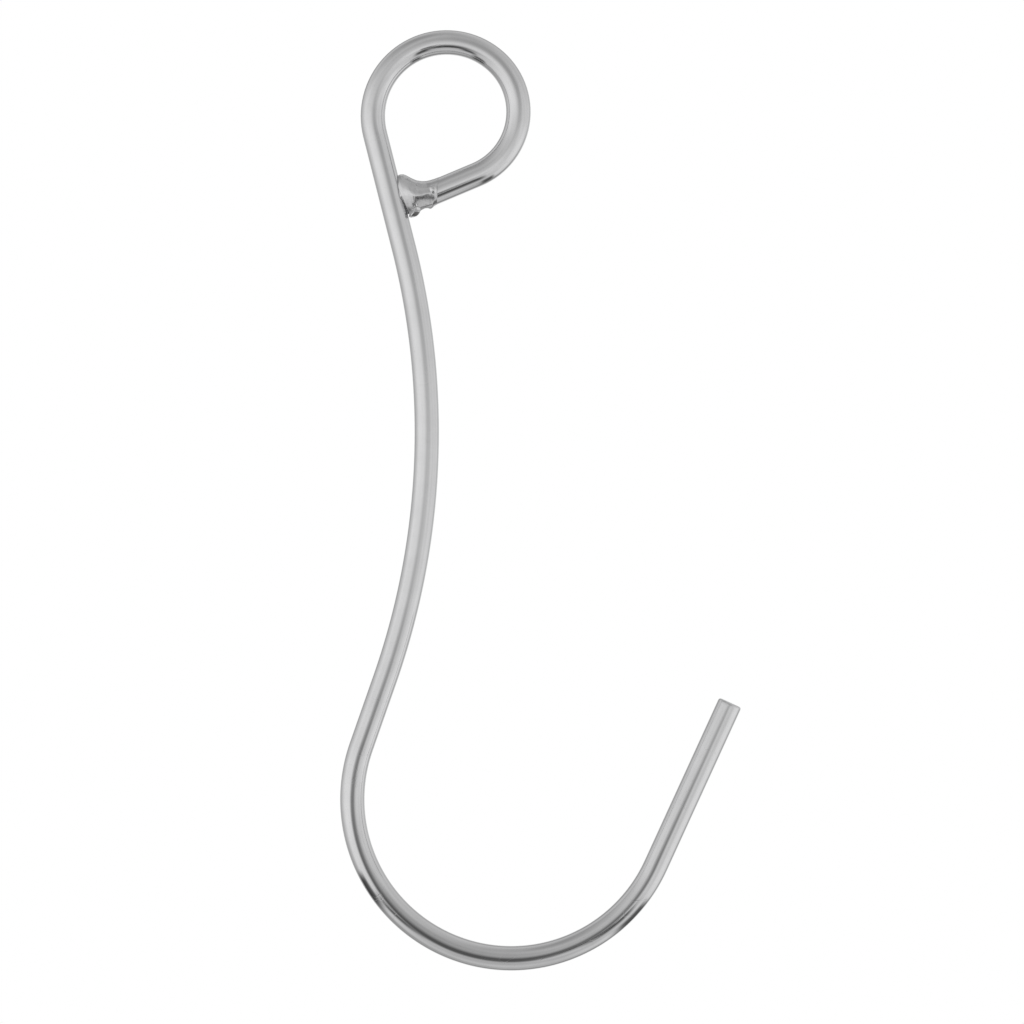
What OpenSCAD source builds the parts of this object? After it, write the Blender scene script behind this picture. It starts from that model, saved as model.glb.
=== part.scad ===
// Meat hook: one round bar bent into an eye, a long shank and a wide bow,
// with the end of the eye welded back onto the neck.
// Millimetres. +Z is up and the hook lies in the XZ plane.
// The origin is the centre of the eye's main bend, where the hook hangs.

/* [Bar] */
// Diameter of the round bar
bar_d = 8; // [5:0.1:12]

/* [Eye] */
// Inside radius of the eye's main bend
eye_inner_r = 20.1; // [14:0.1:32]
// Angle of the main bend
eye_bend = 145.8; // [120:0.1:165]
// Inside radius of the tighter bend that closes the eye
closing_inner_r = 18.2; // [12:0.1:24]
// Angle at which the closing run meets the neck, measured inside the eye
joint_angle = 81.4; // [70:0.1:95]
// Root gap between the cut end of the bar and the neck
root_gap = 0.4; // [0.2:0.05:1.5]

/* [Shank] */
// Length of the straight neck below the eye
neck_len = 38.3; // [31:0.1:70]
// Lean of the neck from upright
neck_lean = 14.2; // [0:0.1:25]
// Centreline radius of the shank's long curve
shank_curve_r = 245; // [150:1:400]
// Angle of the shank's long curve
shank_bend = 33.5; // [10:0.1:45]
// Length of the straight between the long curve and the bow
lower_len = 23.1; // [5:0.1:60]

/* [Bow] */
// Inside radius of the bow
bow_inner_r = 47.9; // [30:0.1:80]
// Angle of the bow
bow_bend = 174.7; // [120:0.1:185]

/* [Tip] */
// Length of the straight from the bow to the blunt tip
tip_len = 58.5; // [20:0.1:100]
// Radius of the rounded edge of the tip
tip_edge_r = 0.8; // [0.2:0.1:1.6]

/* [Weld] */
// How far the bead stands proud of the bar
bead_rise = 0.6; // [0.2:0.05:1.5]
// Length of the bead along the bar, from the side of the neck
bead_len = 10.5; // [7:0.1:14]
// Length of the bead's slope down to the bar at its end
bead_slope = 1.6; // [0.5:0.1:3]
// Length over which the weld swells from its narrow foot to the full bead
flare_len = 3.4; // [2:0.1:6]
// Leg of the upper fillet up the neck, above the bar
upper_leg = 6; // [2:0.1:8]
// Leg of the upper fillet along the bar, from the neck
upper_run = 9.6; // [6:0.1:13]
// Leg of the weld down the neck, below the bar
lower_leg = 1; // [0.5:0.1:3]
// Width of the weld's foot across the neck
foot_w = 3.8; // [2:0.1:6]

/* [Hidden] */
$fn = 64;
colour_bar = [0.78, 0.78, 0.79];
colour_weld = [0.62, 0.62, 0.64];

bar_r = bar_d / 2;
eye_r = eye_inner_r + bar_r;
closing_r = closing_inner_r + bar_r;
bow_r = bow_inner_r + bar_r;

// Bends are drawn a hair fuller than what they join and lap into it, so that the bar is one clean solid
bend_lap = 0.05;
bend_swell = 0.02;

// The two bends of the eye turn the bar from straight up the neck to the closing run
eye_turn = 180 + joint_angle;
closing_bend = eye_turn - eye_bend;

// Where the closing bend ends, across from the neck's axis and up from the neck's top
closing_end_x = eye_r - eye_r * cos(eye_bend) + closing_r * (cos(eye_bend) - cos(eye_turn));
closing_end_y = eye_r * sin(eye_bend) + closing_r * (sin(eye_turn) - sin(eye_bend));

// The closing run's axis meets the neck's axis this far past the bend and below the neck's top
run_to_axis = closing_end_x / sin(joint_angle);
joint_drop = run_to_axis * cos(joint_angle) - closing_end_y;

// The square-cut end stops where its nearest edge is the root gap away from the neck's side
end_setback = (bar_r + root_gap + bar_r * abs(cos(joint_angle))) / sin(joint_angle);
closing_len = run_to_axis - end_setback;

// The weld, in the joint's frame: +X along the closing run away from the neck, +Y on the eye's side
bead_r = bar_r + bead_rise;
side_x = bar_r / sin(joint_angle);
bead_end_x = side_x + bead_len;
flare_end_x = side_x + flare_len;
upper_corner_s = bar_r * (1 + cos(joint_angle)) / sin(joint_angle);
lower_corner_s = bar_r * (1 - cos(joint_angle)) / sin(joint_angle);
upper_toe_s = upper_corner_s + upper_leg;
lower_toe_s = -lower_corner_s - lower_leg;
upper_toe = neck_point(upper_toe_s, bar_r);
fillet_x = neck_point(upper_corner_s, bar_r).x + upper_run;
fillet_rise = upper_toe.y - bead_r;
fillet_r = (pow(fillet_x - upper_toe.x, 2) + pow(fillet_rise, 2)) / (2 * fillet_rise);
toe_r = 0.3;
foot_sink = 0.6;

// A point s up the neck from the joint and off to the side of its axis, in the joint's frame
function neck_point(s, off) = [
    s * cos(joint_angle) + off * sin(joint_angle),
    s * sin(joint_angle) - off * cos(joint_angle)
];

// A straight length of bar along +Y, with what follows it at its end
module straight(length) {
    rotate([-90, 0, 0]) cylinder(d = bar_d, h = length);
    translate([0, length, 0]) children();
}

// A bend that starts along +Y and turns to the right (side 1) or left (side -1);
// a bend that follows another directly takes a swell of 2, so that it is the fuller one
module bend(radius, angle, side, swell = 1) {
    lap = bend_lap / radius * 180 / PI;
    translate([side * radius, 0, 0]) {
        rotate([0, 0, (side > 0 ? 180 - angle : 0) - lap])
            rotate_extrude(angle = angle + 2 * lap)
            translate([radius, 0]) circle(r = bar_r + swell * bend_swell);
        rotate([0, 0, -side * angle]) translate([-side * radius, 0, 0]) children();
    }
}

// The last straight, with the edge of its square end rounded
module tip(length) {
    steps = 6;
    rotate([-90, 0, 0]) rotate_extrude()
        polygon(concat(
            [[0, 0], [bar_r, 0]],
            [for (i = [0 : steps])
                let (a = 90 * i / steps)
                [bar_r - tip_edge_r * (1 - cos(a)), length - tip_edge_r * (1 - sin(a))]],
            [[0, length]]
        ));
}

// Stands the drawing plane upright: the neck's top at the local origin and the neck down -Y
module at_neck_top() {
    rotate([90, 0, 0]) rotate([0, 0, neck_lean]) translate([-eye_r, 0, 0]) children();
}

// The joint's frame, where the closing run's axis crosses the neck's
module at_joint() {
    at_neck_top() translate([0, -joint_drop, 0]) rotate([0, 0, 90 - joint_angle]) children();
}

module hook_bar() {
    color(colour_bar) at_neck_top() {
        rotate([0, 0, 180])
            straight(neck_len)
            bend(shank_curve_r, shank_bend, 1)
            straight(lower_len)
            bend(bow_r, bow_bend, -1)
            tip(tip_len);
        bend(eye_r, eye_bend, 1)
            bend(closing_r, closing_bend, 1, 2)
            straight(closing_len);
    }
}

// The weld's outer shape, with the bar and the neck still filled
module weld_shape() {
    difference() {
        hull($fn = 32) {
            for (s = [lower_toe_s + toe_r, upper_toe_s - toe_r])
                translate(concat(neck_point(s, bar_r - foot_sink), 0))
                    cylinder(r = toe_r, h = foot_w, center = true);
            translate([flare_end_x, 0, 0]) rotate([0, 90, 0])
                cylinder(r = bead_r, h = bead_len - flare_len - bead_slope);
            translate([flare_end_x, 0, 0]) rotate([0, 90, 0])
                cylinder(r = bar_r + bead_rise / 4, h = bead_len - flare_len);
        }
        translate([fillet_x, bead_r + fillet_r, 0])
            cylinder(r = fillet_r, h = 3 * bead_r, center = true);
    }
}

// The neck and the closing run as the weld meets them
module welded_bar() {
    rotate([0, 0, joint_angle - 90]) rotate([90, 0, 0])
        cylinder(r = bar_r, h = 8 * bar_d, center = true);
    translate([end_setback, 0, 0]) rotate([0, 90, 0])
        cylinder(r = bar_r, h = 2 * bead_len);
}

// One pass of the weld: the half on the front (side 1) or on the back (side -1)
module weld_pass(side) {
    reach = 4 * bar_d;
    at_joint() difference() {
        intersection() {
            weld_shape();
            translate([0, -reach / 2, side > 0 ? 0 : -reach]) cube(reach);
        }
        welded_bar();
    }
}

module front_weld() {
    color(colour_weld) weld_pass(1);
}

module back_weld() {
    color(colour_weld) weld_pass(-1);
}

hook_bar();
front_weld();
back_weld();
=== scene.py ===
import math

import bmesh
import bpy
from mathutils import Matrix, Vector, noise


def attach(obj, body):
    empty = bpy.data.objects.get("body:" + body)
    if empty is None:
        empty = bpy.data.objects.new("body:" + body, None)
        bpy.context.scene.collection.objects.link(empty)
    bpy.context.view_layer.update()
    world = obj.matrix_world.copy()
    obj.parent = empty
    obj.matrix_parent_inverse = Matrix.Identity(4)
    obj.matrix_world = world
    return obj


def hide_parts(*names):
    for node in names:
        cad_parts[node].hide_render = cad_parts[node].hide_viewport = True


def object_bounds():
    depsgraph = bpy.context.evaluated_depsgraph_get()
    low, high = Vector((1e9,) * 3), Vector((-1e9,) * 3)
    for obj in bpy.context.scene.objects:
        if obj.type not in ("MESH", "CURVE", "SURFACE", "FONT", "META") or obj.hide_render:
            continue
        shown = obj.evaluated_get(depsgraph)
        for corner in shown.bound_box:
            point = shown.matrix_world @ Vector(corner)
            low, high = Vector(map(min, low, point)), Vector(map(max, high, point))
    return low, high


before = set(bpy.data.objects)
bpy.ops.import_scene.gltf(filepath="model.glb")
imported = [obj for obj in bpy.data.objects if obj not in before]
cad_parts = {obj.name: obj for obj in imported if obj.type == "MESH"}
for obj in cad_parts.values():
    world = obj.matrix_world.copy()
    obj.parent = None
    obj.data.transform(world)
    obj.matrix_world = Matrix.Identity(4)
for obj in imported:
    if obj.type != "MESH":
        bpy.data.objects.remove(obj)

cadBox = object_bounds()
mm = 0.001
print("frame loaded")


# The camera stands level and square to the hook, far off, as a long lens sees it

camera = {
    "lens": 140,              # mm
    "sensor": 36,             # mm wide
    "clip": (0.05, 50),       # m, nearest and farthest
    "framed": 334.4,          # mm of the hook's plane from edge to edge
    "left": 9.25,             # mm that the view's centre lies left of the box's centre
    "below": 3.8,             # mm below it
}


def makeCamera():
    data = bpy.data.cameras.new("camera")
    data.sensor_width = camera["sensor"]
    data.lens = camera["lens"]
    data.clip_start, data.clip_end = camera["clip"]
    lens = bpy.data.objects.new("camera", data)
    bpy.context.scene.collection.objects.link(lens)
    bpy.context.scene.camera = lens
    centre = (cadBox[0] + cadBox[1]) / 2
    away = camera["framed"] * mm * camera["lens"] / camera["sensor"]
    lens.location = centre + Vector((-camera["left"] * mm, -away, -camera["below"] * mm))
    lens.rotation_euler = (math.radians(90), 0, 0)
    print("camera placed", round(away, 3), "m away")


# Small helpers for meshes and node trees

def keepMesh(bm, name, smooth=True):
    mesh = bpy.data.meshes.new(name)
    bm.to_mesh(mesh)
    bm.free()
    made = bpy.data.objects.new(name, mesh)
    bpy.context.scene.collection.objects.link(made)
    for face in mesh.polygons:
        face.use_smooth = smooth
    return made


def newestRing(made):
    # the points that an extrusion or a spin has just made, and the edges between them
    verts = [item for item in made if isinstance(item, bmesh.types.BMVert)]
    newest = set(verts)
    edges = [item for item in made if isinstance(item, bmesh.types.BMEdge)]
    return verts, [edge for edge in edges if newest.issuperset(edge.verts)]


def ringEdges(verts):
    return list(dict.fromkeys(edge for vert in verts for edge in vert.link_edges))


def addNode(tree, kind, inputs=None, **settings):
    node = tree.nodes.new(kind)
    for name, value in settings.items():
        setattr(node, name, value)
    for name, value in (inputs or {}).items():
        setInput(tree, node, name, value)
    return node


def setInput(tree, node, name, value):
    if isinstance(value, bpy.types.NodeSocket):
        tree.links.new(value, node.inputs[name])
    else:
        node.inputs[name].default_value = value


def calculate(tree, operation, *values):
    return addNode(tree, "ShaderNodeMath", dict(enumerate(values)), operation=operation).outputs[0]


def rescale(tree, value, low, high, toLow, toHigh, kind="LINEAR"):
    node = addNode(tree, "ShaderNodeMapRange", {
        "Value": value, "From Min": low, "From Max": high, "To Min": toLow, "To Max": toHigh,
    }, interpolation_type=kind)
    return node.outputs["Result"]


def makeNoise(tree, place, scale, detail):
    node = addNode(tree, "ShaderNodeTexNoise", {"Vector": place, "Scale": scale, "Detail": detail})
    return node.outputs["Fac"]


def mixColour(tree, factor, first, second):
    node = addNode(tree, "ShaderNodeMix", {"Factor": factor}, data_type="RGBA")
    for socket, value in ((node.inputs[6], first), (node.inputs[7], second)):
        if isinstance(value, bpy.types.NodeSocket):
            tree.links.new(value, socket)
        else:
            socket.default_value = (*value, 1)
    return node.outputs[2]


# The studio: a pale room of soft light, with a few soft darker and brighter places that the polish picks up

studio = {
    "backdrop": 1.0,          # what the camera sees behind the hook
    "room": 0.89,             # brightness of the room all round
    "darkest": 0.02,          # the soft places never leave less light than this
    "rim": -0.40,             # brightness added in a ring behind the hook, round the backdrop's edge
    "rimStarts": (0.4, 0.74),     # cosines of the angle from straight behind, where the ring fades in
    "rimEnds": (0.82, 0.97),      # and where it fades out again
    # soft places: degrees from the camera's direction, degrees round it (0 right, 90 up),
    # width in degrees, brightness added
    "softPlaces": [
        (77, 128, 37, -0.23),
        (52, 165, 82, 0.40),
        (17, -101, 79, -0.48),
        (62, 169, 115, -0.42),
        (49, -90, 115, 0.40),
        (44, 19, 10, 0.08),
        (37, -33, 38, 0.31),
        (69, 59, 89, -0.26),
        (86, -40, 41, 0.23),
        (170, 115, 52, -1.0),
        (80, -87, 101, -0.63),
        (44, -119, 62, 0.46),
        (173, 133, 60, 0.95),
    ],
    # soft dark cards that only the polish sees, upright or level: right, away, up,
    # half width, half height or depth (m), darkness, softness of the edges
    "cards": [
        ("upright", -0.018, -0.40, -0.372, 0.222, 0.272, 0.86, 0.83),
        ("level", -0.312, 0.041, -0.455, 0.113, 0.352, 0.85, 0.7),
        ("level", 0.329, 0.136, -0.545, 0.106, 0.354, 0.85, 0.7),
        ("level", 0.20, -0.43, -0.47, 0.11, 0.30, 0.85, 0.8),
        ("level", -0.20, -0.36, -0.47, 0.11, 0.22, 0.8, 0.8),
        ("level", 0.193, -1.187, -0.596, 0.09, 0.322, 0.58, 0.25),
    ],
}


def towards(turn, around):
    turn, around = math.radians(turn), math.radians(around)
    return Vector((math.sin(turn) * math.cos(around), -math.cos(turn), math.sin(turn) * math.sin(around)))


def makeWorld():
    world = bpy.data.worlds.new("studio")
    bpy.context.scene.world = world
    world.use_nodes = True
    tree = world.node_tree
    tree.nodes.clear()
    direction = addNode(tree, "ShaderNodeTexCoord").outputs["Generated"]
    behind = addNode(tree, "ShaderNodeSeparateXYZ", {"Vector": direction}).outputs["Y"]
    fading, gone = studio["rimEnds"]
    inner = rescale(tree, behind, gone, fading, 0, studio["rim"], "SMOOTHSTEP")
    outer = rescale(tree, behind, *studio["rimStarts"], 0, 1, "SMOOTHSTEP")
    light = calculate(tree, "ADD", calculate(tree, "MULTIPLY", inner, outer), studio["room"])
    for turn, around, width, added in studio["softPlaces"]:
        facing = addNode(tree, "ShaderNodeVectorMath", operation="DOT_PRODUCT")
        tree.links.new(direction, facing.inputs[0])
        facing.inputs[1].default_value = towards(turn, around)
        edge = math.cos(math.radians(width))
        place = rescale(tree, facing.outputs["Value"], edge, 1, 0, added, "SMOOTHSTEP")
        light = calculate(tree, "ADD", light, place)
    light = calculate(tree, "MAXIMUM", light, studio["darkest"])
    seen = addNode(tree, "ShaderNodeLightPath").outputs["Is Camera Ray"]
    shown = addNode(tree, "ShaderNodeMix", {"Factor": seen, "A": light, "B": studio["backdrop"]})
    background = addNode(tree, "ShaderNodeBackground", {
        "Color": (1, 1, 1, 1), "Strength": shown.outputs[0]})
    output = addNode(tree, "ShaderNodeOutputWorld")
    tree.links.new(background.outputs[0], output.inputs["Surface"])
    bpy.context.scene.view_settings.view_transform = "Standard"
    print("world made")


def makeCard(stands, right, away, up, halfWidth, halfHeight, darkness, softness):
    bm = bmesh.new()
    upright = stands == "upright"
    place = Matrix.Translation((right, away, up)) @ Matrix.Rotation(math.pi / 2 if upright else 0, 4, "X")
    place = place @ Matrix.Diagonal((halfWidth, halfHeight, 1, 1))
    bmesh.ops.create_grid(bm, x_segments=1, y_segments=1, size=1, matrix=place)
    card = keepMesh(bm, "softCard")
    material = bpy.data.materials.new("softCard")
    material.use_nodes = True
    tree = material.node_tree
    tree.nodes.clear()
    where = addNode(tree, "ShaderNodeTexCoord").outputs["Object"]
    size = (halfWidth, 1, halfHeight) if upright else (halfWidth, halfHeight, 1)
    centred = addNode(tree, "ShaderNodeMapping", {
        "Vector": where, "Location": (right, away, up), "Scale": size}, vector_type="TEXTURE")
    axes = addNode(tree, "ShaderNodeSeparateXYZ", {"Vector": centred.outputs[0]}).outputs
    shade = darkness
    for axis in ("X", "Z" if upright else "Y"):
        distance = calculate(tree, "ABSOLUTE", axes[axis])
        fade = rescale(tree, distance, 1, 1 - softness, 0, 1, "SMOOTHSTEP")
        shade = calculate(tree, "MULTIPLY", fade, shade)
    clear = addNode(tree, "ShaderNodeBsdfTransparent", {"Color": calculate(tree, "SUBTRACT", 1, shade)})
    output = addNode(tree, "ShaderNodeOutputMaterial")
    tree.links.new(clear.outputs[0], output.inputs["Surface"])
    card.data.materials.append(material)
    card.visible_camera = card.visible_diffuse = card.visible_shadow = False


floorCircle = {
    "drop": 320,              # mm from the lowest point of the hook down to the floor
    "radius": 2.2,            # m
    "sides": 96,
    "tones": ((0.9, 0.9, 0.9), (0.94, 0.94, 0.94)),
    "cloud": (3, 3),          # scale and detail
    "roughness": 0.8,
}


def makeFloor():
    bm = bmesh.new()
    place = Matrix.Translation((0, 0, cadBox[0].z - floorCircle["drop"] * mm))
    bmesh.ops.create_circle(
        bm, cap_ends=True, segments=floorCircle["sides"], radius=floorCircle["radius"], matrix=place)
    floor = keepMesh(bm, "floor", smooth=False)
    material = bpy.data.materials.new("paleFloor")
    material.use_nodes = True
    tree = material.node_tree
    shader = tree.nodes["Principled BSDF"]
    place = addNode(tree, "ShaderNodeTexCoord").outputs["Object"]
    cloud = makeNoise(tree, place, *floorCircle["cloud"])
    tree.links.new(mixColour(tree, cloud, *floorCircle["tones"]), shader.inputs["Base Color"])
    shader.inputs["Roughness"].default_value = floorCircle["roughness"]
    floor.data.materials.append(material)
    floor.visible_glossy = False
    print("floor laid")


# The bar: one round bar swept from the top of the neck, up round the eye and down to the tip

bar = {                       # mm and degrees, to the bar's centreline
    "radius": 4,
    "eyeRadius": 24.1,
    "eyeBend": 145.8,
    "closingRadius": 22.2,
    "closingBend": 115.6,
    "closingLength": 24.2,
    "neckLength": 38.3,
    "neckLean": 14.2,
    "shankRadius": 245,
    "shankBend": 33.5,
    "lowerLength": 23.1,
    "bowRadius": 51.9,
    "bowBend": 174.7,
    "tipLength": 58.5,
    "tipEdge": 0.8,           # rounding of the tip's edge
    "tipSteps": 6,            # faces across that rounding
    "tipInset": 0.25,         # narrow face just inside it
    "endTaper": 7.0,          # length of the slope ground on the end inside the weld
    "endRadius": 2.2,         # at the bottom of that slope
    "sides": 64,
    "step": 1.5,              # between rings
}


def startRing(bm):
    lean = math.radians(bar["neckLean"])
    top = Vector((-bar["eyeRadius"] * math.cos(lean), 0, -bar["eyeRadius"] * math.sin(lean))) * mm
    turned = Matrix.Translation(top) @ Matrix.Rotation(-lean, 4, "Y")
    ring = bmesh.ops.create_circle(bm, segments=bar["sides"], radius=bar["radius"] * mm, matrix=turned)
    return top, math.pi / 2 + lean, ring["verts"]


def headingOf(angle):
    return Vector((math.cos(angle), 0, math.sin(angle)))


def markPlace(bm, verts, centre, heading, along):
    # where a point is on the bar laid out straight: across, deep, along
    layer = bm.verts.layers.float_vector["barPlace"]
    forward = headingOf(heading)
    across = Vector((forward.z, 0, -forward.x))
    for vert in verts:
        offset = vert.co - centre
        vert[layer] = (offset.dot(across), offset.y, along + offset.dot(forward))


def sweep(bm, edges, centre, heading, along, way, runs):
    # each run is (length, 0, 0) for a straight or (radius, angle, side) for a bend, side 1 to the right
    for size, angle, side in runs:
        length = size * math.radians(angle) if angle else size
        steps = math.ceil(length / bar["step"])
        stride = length * mm / steps
        for _ in range(steps):
            if angle:
                turn = side * math.radians(angle) / steps
                pivot = centre + Vector((math.sin(heading), 0, -math.cos(heading))) * size * mm * side
                made = bmesh.ops.spin(bm, geom=edges, cent=pivot, axis=(0, 1, 0), angle=turn, steps=1)
                verts, edges = newestRing(made["geom_last"])
                centre = pivot + Matrix.Rotation(turn, 3, "Y") @ (centre - pivot)
                heading -= turn
            else:
                verts, edges = newestRing(bmesh.ops.extrude_edge_only(bm, edges=edges)["geom"])
                bmesh.ops.translate(bm, vec=headingOf(heading) * stride, verts=verts)
                centre = centre + headingOf(heading) * stride
            along += way * stride
            markPlace(bm, verts, centre, heading, along)
    return edges, centre, heading, along


def roundTip(bm, edges, centre, heading, along):
    bmesh.ops.bevel(
        bm, geom=edges, offset=bar["tipEdge"] * mm, affect="EDGES", segments=bar["tipSteps"], profile=0.5,
        material=-1)
    ends = [face for face in bm.faces if len(face.verts) == bar["sides"]]
    flat = min(ends, key=lambda face: (face.calc_center_median() - centre).length)
    bmesh.ops.inset_region(bm, faces=[flat], thickness=bar["tipInset"] * mm)
    reach = 1.2 * bar["radius"] * mm      # takes in the whole rounding
    near = [vert for vert in bm.verts if (vert.co - centre).length < reach]
    markPlace(bm, near, centre, heading, along)


def taperEnd(bm, edges, centre, heading, along):
    # the end is ground to a slope before welding, so that the weld metal has room
    verts, edges = newestRing(bmesh.ops.extrude_edge_only(bm, edges=edges)["geom"])
    forward = headingOf(heading) * bar["endTaper"] * mm
    bmesh.ops.translate(bm, vec=forward, verts=verts)
    centre = centre + forward
    share = bar["endRadius"] / bar["radius"]
    bmesh.ops.scale(bm, vec=(share, share, share), space=Matrix.Translation(-centre), verts=verts)
    markPlace(bm, verts, centre, heading, along + bar["endTaper"] * mm)
    bmesh.ops.edgeloop_fill(bm, edges=edges)
    return centre


def makeBar():
    bm = bmesh.new()
    bm.verts.layers.float_vector.new("barPlace")
    top, upwards, ring = startRing(bm)
    edges = ringEdges(ring)
    markPlace(bm, ring, top, upwards, 0)
    up = sweep(bm, edges, top, upwards, 0, 1, [
        (bar["eyeRadius"], bar["eyeBend"], 1),
        (bar["closingRadius"], bar["closingBend"], 1),
        (bar["closingLength"] - bar["endTaper"], 0, 0),
    ])
    cutEnd = taperEnd(bm, *up)
    down = sweep(bm, edges, top, upwards - math.pi, 0, -1, [
        (bar["neckLength"], 0, 0),
        (bar["shankRadius"], bar["shankBend"], 1),
        (bar["lowerLength"], 0, 0),
        (bar["bowRadius"], bar["bowBend"], -1),
        (bar["tipLength"], 0, 0),
    ])
    bmesh.ops.edgeloop_fill(bm, edges=down[0])
    roundTip(bm, *down)
    bmesh.ops.recalc_face_normals(bm, faces=bm.faces)
    made = keepMesh(bm, "hookBar")
    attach(made, "root")
    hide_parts("hook_bar")
    print("bar swept:", len(made.data.vertices), "points, ends at", [round(c / mm, 2) for c in down[1]])
    return made, cutEnd, up[2]


# The weld: built in millimetres where the closing run meets the neck, then moved into place.
# There x runs out along the closing run, y up towards the eye and z to the front.

weld = {
    "setback": 5.05,          # from the bar's cut end to the neck's middle line
    "jointAngle": 81.4,
    "halfWidth": 4.58,        # front to back, the weld goes no further than this
    # sections: out, slant, top, middle, bottom, depth to each side, thinning to the top and the bottom
    "sections": [
        (2.2, 0.0, 5.5, 2.8, -3.4, 2.0, 0.0, 0.9),
        (3.3, 0.0, 7.6, 2.8, -3.4, 2.74, 0.0, 0.85),
        (3.75, 0.0, 8.3, 2.9, -3.2, 2.9, 0.0, 0.85),
        (3.95, 0.0, 8.7, 2.9, -4.4, 3.1, 0.0, 0.3),
        (5.0, 0.0, 9.6, 2.7, -4.75, 3.45, 0.05, 0.24),
        (6.0, 0.0, 9.8, 2.2, -4.6, 3.8, 0.2, 0.12),
        (7.0, 0.0, 9.5, 1.8, -4.4, 4.15, 0.45, 0.1),
        (7.3, 0.0, 9.3, 1.4, -4.15, 4.25, 0.5, 0.25),
        (8.0, 0.0, 8.6, 1.0, -3.75, 4.36, 0.5, 0.25),
        (9.3, 0.0, 7.0, 0.7, -3.65, 4.38, 0.35, 0.2),
        (10.3, 0.0, 5.95, 0.4, -3.95, 4.36, 0.25, 0.2),
        (11.2, 0.15, 4.95, 0.3, -4.25, 4.38, 0.15, 0.25),
        (12.2, 0.25, 4.45, 0.15, -4.55, 4.36, 0.1, 0.25),
        (13.4, 0.35, 4.22, 0.1, -4.4, 4.25, 0.0, 0.1),
        (14.3, 0.45, 4.1, 0.1, -4.15, 4.14, 0.0, 0.0),
        (15.1, 0.5, 4.04, 0.0, -4.05, 4.05, 0.0, 0.0),
        (15.8, 0.5, 3.96, 0.0, -3.96, 3.96, 0.0, 0.0),
    ],
    # rounded lumps: out, up, front, half length, half height, half depth, turn, lean downwards (degrees)
    "lumps": [
        (14.1, 0.7, 2.75, 1.6, 1.9, 1.8, 0, 0),
        (5.7, -4.1, 1.9, 1.7, 0.95, 0.5, 8, 21),
        (12.6, -0.4, -2.8, 1.6, 2.0, 1.7, 0, 0),
        (4.9, -4.0, 0.1, 1.4, 0.75, 1.4, 8, 0),
    ],
    "lumpSides": 32,
    "lumpRings": 20,
    # creases between passes: out, up, out, up
    "creases": [
        (7.39, 0.95, 7.02, -0.87),
        (7.02, -0.87, 6.81, -2.06),
        (6.81, -2.06, 5.05, -2.5),
        (6.81, -2.06, 8.2, -3.0),
        (8.2, -3.0, 12.0, -3.5),
    ],
    "creaseWidth": 0.16,
    "creaseDepth": 0.1,
    # small pits: out, up, side, radius, depth
    "pits": [
        (8.97, 2.85, 1, 0.42, 0.16),
        (9.9, 4.35, 1, 0.5, 0.12),
        (12.85, 2.95, 1, 0.6, 0.12),
        (8.2, 1.9, -1, 0.4, 0.14),
        (11.3, 3.1, -1, 0.5, 0.14),
    ],
    "ripple": 0.024,          # height of the ripples
    # how close the ripples are, how strong, and where in the noise they are taken
    "ripples": [(0.9, 0.6, (0, 0, 0)), (2.1, 0.4, (7, 3, 1))],
    "sides": 72,
    "voxel": 0.11,            # size of the fused skin's faces
    "smoothings": 3,
    # the painted shade line where the weld runs out: its width, and its strength on the upper neck,
    # on the neck below lowNeck and on the closing run beyond runStart
    "toeShadeWidth": 0.06,
    "upperToeShade": 1,
    "lowToeShade": 0.3,
    "runToeShade": 0.3,
    "lowNeck": 0.5,
    "runStart": 11.0,
    # painted shade on the small drop below the weld: out, up, half length, half height, then its reach in
    # those and how hard its edge is
    "dropShade": (5.85, -4.3, 1.5, 0.72),
    "dropShadeReach": 1.25,
    "dropShadeEdge": 3,
}


def loftWedge(bm):
    angles = bm.verts.layers.float.new("angle")
    out = weld["sections"][0][0]
    onEdge = Matrix.Translation((out, 0, 0)) @ Matrix.Rotation(math.pi / 2, 4, "Y")
    ring = bmesh.ops.create_circle(bm, segments=weld["sides"], radius=1, matrix=onEdge)["verts"]
    for vert in ring:
        vert[angles] = math.atan2(vert.co.z, vert.co.y)
    first = edges = ringEdges(ring)
    for number, section in enumerate(weld["sections"]):
        if number:
            ring, edges = newestRing(bmesh.ops.extrude_edge_only(bm, edges=edges)["geom"])
        for vert in ring:
            vert.co = sectionPoint(section, vert[angles])
    for end in (first, edges):
        bmesh.ops.edgeloop_fill(bm, edges=end)


def sectionPoint(section, angle):
    out, slant, top, middle, bottom, depth, thinTop, thinBottom = section
    rise = math.cos(angle)
    height = top - middle if rise > 0 else middle - bottom
    thin = 1 - thinTop * rise ** 2 if rise > 0 else 1 + thinBottom * rise
    up = middle + height * rise
    return Vector((out + slant * up, up, depth * thin * math.sin(angle)))


def addLump(bm, out, up, front, halfLength, halfHeight, halfDepth, turn, lean):
    place = Matrix.Translation((out, up, front)) @ Matrix.Rotation(math.radians(turn), 4, "Z")
    place = place @ Matrix.Rotation(math.radians(lean), 4, "X")
    place = place @ Matrix.Diagonal((halfLength, halfHeight, halfDepth, 1))
    bmesh.ops.create_uvsphere(
        bm, u_segments=weld["lumpSides"], v_segments=weld["lumpRings"], radius=1, matrix=place)


def fuse(bm):
    # one clean skin round all the lumps
    rough = keepMesh(bm, "roughWeld")
    remesh = rough.modifiers.new("remesh", "REMESH")
    remesh.mode = "VOXEL"
    remesh.voxel_size = weld["voxel"]
    depsgraph = bpy.context.evaluated_depsgraph_get()
    fused = bmesh.new()
    fused.from_mesh(rough.evaluated_get(depsgraph).to_mesh())
    bpy.data.objects.remove(rough)
    return fused


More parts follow.
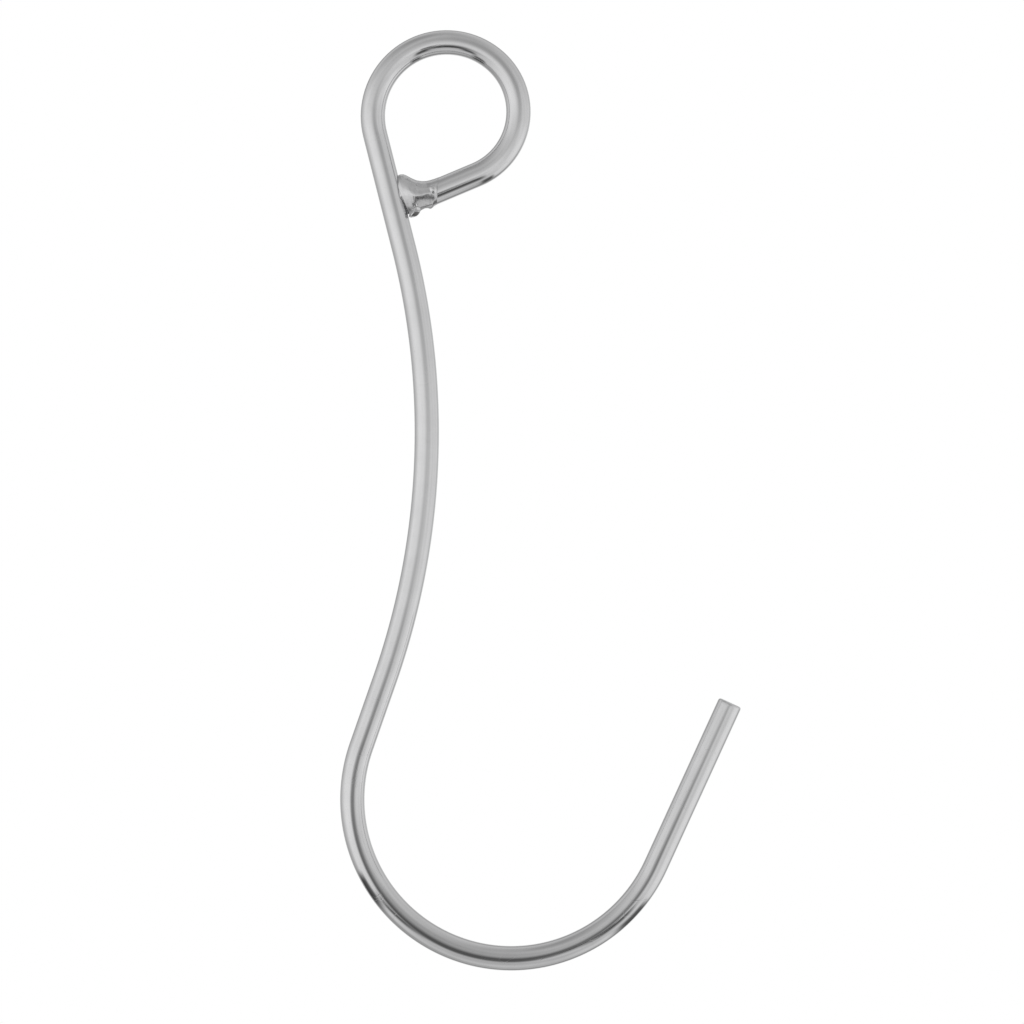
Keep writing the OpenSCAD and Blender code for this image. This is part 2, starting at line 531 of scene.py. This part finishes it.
def shapeSkin(bm):
    for _ in range(weld["smoothings"]):
        bmesh.ops.smooth_vert(
            bm, verts=bm.verts, factor=0.5, use_axis_x=True, use_axis_y=True, use_axis_z=True)
    bm.normal_update()
    moves = []
    for vert in bm.verts:
        p = vert.co
        height = 0
        for closeness, share, start in weld["ripples"]:
            height += noise.noise(p * closeness + Vector(start)) * share
        move = weld["ripple"] * height
        for out, up, side, radius, depth in weld["pits"]:
            if p.z * side > 0:
                away = math.hypot(p.x - out, p.y - up) / radius
                move -= depth * math.exp(-away * away)
        move -= weld["creaseDepth"] * nearCrease(p)
        moves.append(vert.normal * move)
    for vert, move in zip(bm.verts, moves):
        vert.co += move
        vert.co.z = max(-weld["halfWidth"], min(weld["halfWidth"], vert.co.z))


def nearCrease(p):
    # 1 in the middle of a crease on the front, 0 outside it
    nearest = weld["creaseWidth"]
    if p.z > 0:
        for out, up, toOut, toUp in weld["creases"]:
            along = Vector((toOut - out, toUp - up))
            offset = Vector((p.x - out, p.y - up))
            share = max(0, min(1, offset.dot(along) / along.length_squared))
            nearest = min(nearest, (offset - along * share).length)
    return 1 - nearest / weld["creaseWidth"]


# the painted shade line at the toe: strongest where the skin meets the bar's surface
def atToe(away):
    return max(0.0, 1 - abs(away - bar["radius"]) / weld["toeShadeWidth"])


# painted shade on the small drop below the weld: 1 inside it, fading to nothing past its reach
def inDropShade(p):
    out, up, halfLength, halfHeight = weld["dropShade"]
    away = abs((p.x - out) / halfLength) + abs((p.y - up) / halfHeight)
    return min(1.0, (weld["dropShadeReach"] - away) * weld["dropShadeEdge"]) if p.z > 0 else 0.0


def markPaintedShade(bm):
    # 1 where shade is painted into the skin: along the toe and the creases, and on the small drop below the
    #                                         weld
    layer = bm.verts.layers.float.new("paintedShade")
    lean = math.radians(weld["jointAngle"])
    for vert in bm.verts:
        p = vert.co
        # painted shade along the toe on the neck and on the closing run, and in the creases
        onNeck = atToe(math.hypot(p.x * math.sin(lean) - p.y * math.cos(lean), p.z))
        onNeck *= weld["upperToeShade"] if p.y > weld["lowNeck"] else weld["lowToeShade"]
        onRun = atToe(math.hypot(p.y, p.z)) * weld["runToeShade"] if p.x > weld["runStart"] else 0.0
        vert[layer] = max(onNeck, onRun, nearCrease(p), inDropShade(p))


def makeWeld(cutEnd, heading):
    bm = bmesh.new()
    loftWedge(bm)
    for lump in weld["lumps"]:
        addLump(bm, *lump)
    bm = fuse(bm)
    shapeSkin(bm)
    markPaintedShade(bm)
    out = -headingOf(heading)
    up = Vector((-out.z, 0, out.x))
    joint = cutEnd - out * weld["setback"] * mm
    turned = Matrix((out, up, Vector((0, -1, 0)))).transposed().to_4x4()
    place = Matrix.Translation(joint) @ turned @ Matrix.Scale(mm, 4)
    bmesh.ops.transform(bm, matrix=place, verts=bm.verts)
    bmesh.ops.recalc_face_normals(bm, faces=bm.faces)
    made = keepMesh(bm, "weldBead")
    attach(made, "root")
    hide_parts("front_weld", "back_weld")
    print("weld built:", len(made.data.polygons), "faces")
    return made


# Metal: the fine lines and the marks that both finishes share are in two groups

metalMarks = {                    # noises are scale and detail
    "fineLines": (1, 2),
    "broadLines": (0.22, 3),
    "contrast": (0.3, 0.7),       # the part of a noise that is spread from dark to light
    "scratchWidth": 0.025,
    "scratchPatches": (0.5, 2),
    "patchEdge": (0.54, 0.62),
    "specks": (18, 1),
    "speckEdge": (0.66, 0.74),
}


def makeGroup(name, inputs, outputs):
    # an input whose value is None is a vector
    group = bpy.data.node_groups.new(name, "ShaderNodeTree")
    for label, value in inputs.items():
        kind = "NodeSocketVector" if value is None else "NodeSocketFloat"
        socket = group.interface.new_socket(label, in_out="INPUT", socket_type=kind)
        if value is not None:
            socket.default_value = value
    for label in outputs:
        group.interface.new_socket(label, in_out="OUTPUT", socket_type="NodeSocketFloat")
    return group, addNode(group, "NodeGroupInput").outputs, addNode(group, "NodeGroupOutput")


def stretch(group, place, *sizes):
    size = addNode(group, "ShaderNodeCombineXYZ", dict(enumerate(sizes))).outputs[0]
    return addNode(group, "ShaderNodeVectorMath", {0: place, 1: size}, operation="DIVIDE").outputs[0]


def makeDrawLines():
    # fine lines left by drawing and polishing the bar, running along the vector's Z
    group, given, result = makeGroup(
        "drawLines", {"Vector": None, "Width": 0.0002, "Length": 0.02}, ("Height", "Shade"))
    place = stretch(group, given["Vector"], given["Width"], given["Width"], given["Length"])
    broad = makeNoise(group, place, *metalMarks["broadLines"])
    setInput(group, result, "Height", makeNoise(group, place, *metalMarks["fineLines"]))
    setInput(group, result, "Shade", rescale(group, broad, *metalMarks["contrast"], 0, 1))
    return group


def makeMarks():
    # sparse hairline scratches and tiny specks from bending and handling
    group, given, result = makeGroup("handlingMarks", {"Vector": None, "Size": 0.004}, ("Scratch", "Speck"))
    place = stretch(group, given["Vector"], given["Size"], given["Size"], given["Size"])
    cells = addNode(
        group, "ShaderNodeTexVoronoi", {"Vector": place, "Scale": 1}, feature="DISTANCE_TO_EDGE")
    line = rescale(group, cells.outputs["Distance"], 0, metalMarks["scratchWidth"], 1, 0)
    patches = makeNoise(group, place, *metalMarks["scratchPatches"])
    patches = rescale(group, patches, *metalMarks["patchEdge"], 0, 1)
    setInput(group, result, "Scratch", calculate(group, "MULTIPLY", line, patches))
    specks = makeNoise(group, place, *metalMarks["specks"])
    setInput(group, result, "Speck", rescale(group, specks, *metalMarks["speckEdge"], 0, 1))
    return group


def shaded(colour, share):
    return tuple(part * share for part in colour)


def startMetal(name):
    material = bpy.data.materials.new(name)
    material.use_nodes = True
    shader = material.node_tree.nodes["Principled BSDF"]
    shader.inputs["Metallic"].default_value = 1
    return material, material.node_tree, shader


def useGroup(tree, group, inputs):
    node = tree.nodes.new("ShaderNodeGroup")
    node.node_tree = group
    for name, value in inputs.items():
        setInput(tree, node, name, value)
    return node.outputs


def addBump(tree, shader, height, strength, distance):
    bump = addNode(tree, "ShaderNodeBump", {"Height": height, "Strength": strength, "Distance": distance})
    tree.links.new(bump.outputs[0], shader.inputs["Normal"])


barPolish = {
    "colour": (0.70, 0.70, 0.705),
    "cloud": (160, 4),            # scale and detail
    "cloudShades": (0.96, 1.03),  # shares of the colour
    "lineShade": 0.94,
    "lineMix": 0.5,
    "speckShade": 0.6,
    "speckMix": 0.35,
    "roughness": (0.06, 0.09),    # from line to line
    "scratchRoughness": 0.15,
    "lineSize": {"Width": 0.00022, "Length": 0.025},
    "markSize": 0.006,
    "lineHeight": 0.35,
    "cloudHeight": 1.2,
    "bump": (0.35, 0.00002),      # strength and distance
}


def makePolishedBar(drawLines, marks):
    material, tree, shader = startMetal("polishedBar")
    place = addNode(tree, "ShaderNodeAttribute", attribute_name="barPlace").outputs["Vector"]
    lines = useGroup(tree, drawLines, {"Vector": place, **barPolish["lineSize"]})
    wear = useGroup(tree, marks, {"Vector": place, "Size": barPolish["markSize"]})
    cloud = makeNoise(tree, place, *barPolish["cloud"])
    colour = barPolish["colour"]
    dark, light = (shaded(colour, share) for share in barPolish["cloudShades"])
    toned = mixColour(tree, rescale(tree, cloud, *metalMarks["contrast"], 0, 1), dark, light)
    lined = calculate(tree, "MULTIPLY", lines["Shade"], barPolish["lineMix"])
    toned = mixColour(tree, lined, toned, shaded(colour, barPolish["lineShade"]))
    specked = calculate(tree, "MULTIPLY", wear["Speck"], barPolish["speckMix"])
    toned = mixColour(tree, specked, toned, shaded(colour, barPolish["speckShade"]))
    tree.links.new(toned, shader.inputs["Base Color"])
    rough = rescale(tree, lines["Shade"], 0, 1, *barPolish["roughness"])
    scratched = calculate(tree, "MULTIPLY", wear["Scratch"], barPolish["scratchRoughness"])
    tree.links.new(calculate(tree, "ADD", rough, scratched), shader.inputs["Roughness"])
    height = calculate(tree, "MULTIPLY", lines["Height"], barPolish["lineHeight"])
    clouded = calculate(tree, "MULTIPLY", cloud, barPolish["cloudHeight"])
    height = calculate(tree, "ADD", height, clouded)
    height = calculate(tree, "SUBTRACT", height, wear["Scratch"])
    addBump(tree, shader, height, *barPolish["bump"])
    return material


weldFinish = {
    "colour": (0.68, 0.68, 0.685),
    "lineShades": (0.93, 1.04),   # shares of the colour
    "speckShade": 0.5,
    "speckMix": 0.35,
    # painted shade: a near-black colour for the toe, the creases and the drop, and how it is mixed in
    "paintedShadeColour": (0.12, 0.117, 0.115),
    "paintedShadeFade": (0.1, 0.9),
    "paintedShadeMix": 0.9,
    "roughness": (0.12, 0.192),   # from line to line
    "toeRoughness": 0.2,
    "lineSize": {"Width": 0.0004, "Length": 0.0012},
    "markSize": 0.003,
    "lineHeight": 0.4,
    "speckHeight": 1.5,
    "bump": (0.25, 0.00004),      # strength and distance
}


def makeWeldMetal(drawLines, marks):
    material, tree, shader = startMetal("weldMetal")
    place = addNode(tree, "ShaderNodeTexCoord").outputs["Object"]
    paintedShade = addNode(tree, "ShaderNodeAttribute", attribute_name="paintedShade").outputs["Fac"]
    lines = useGroup(tree, drawLines, {"Vector": place, **weldFinish["lineSize"]})
    wear = useGroup(tree, marks, {"Vector": place, "Size": weldFinish["markSize"]})
    colour = weldFinish["colour"]
    dark, light = (shaded(colour, share) for share in weldFinish["lineShades"])
    toned = mixColour(tree, lines["Shade"], dark, light)
    specked = calculate(tree, "MULTIPLY", wear["Speck"], weldFinish["speckMix"])
    toned = mixColour(tree, specked, toned, shaded(colour, weldFinish["speckShade"]))
    # paint the shade along the toe, in the creases and on the drop into the base colour
    darkened = rescale(tree, paintedShade, *weldFinish["paintedShadeFade"], 0, weldFinish["paintedShadeMix"])
    toned = mixColour(tree, darkened, toned, weldFinish["paintedShadeColour"])
    tree.links.new(toned, shader.inputs["Base Color"])
    rough = rescale(tree, lines["Shade"], 0, 1, *weldFinish["roughness"])
    dulled = calculate(tree, "MULTIPLY", paintedShade, weldFinish["toeRoughness"])
    tree.links.new(calculate(tree, "ADD", rough, dulled), shader.inputs["Roughness"])
    lined = calculate(tree, "MULTIPLY", lines["Height"], weldFinish["lineHeight"])
    height = calculate(tree, "ADD", lines["Shade"], lined)
    pitted = calculate(tree, "MULTIPLY", wear["Speck"], weldFinish["speckHeight"])
    height = calculate(tree, "SUBTRACT", height, pitted)
    addBump(tree, shader, height, *weldFinish["bump"])
    return material


makeCamera()
makeWorld()
makeFloor()
for card in studio["cards"]:
    makeCard(*card)
hookBar, cutEnd, cutHeading = makeBar()
weldBead = makeWeld(cutEnd, cutHeading)
drawLines, marks = makeDrawLines(), makeMarks()
hookBar.data.materials.append(makePolishedBar(drawLines, marks))
weldBead.data.materials.append(makeWeldMetal(drawLines, marks))
print("metal made")
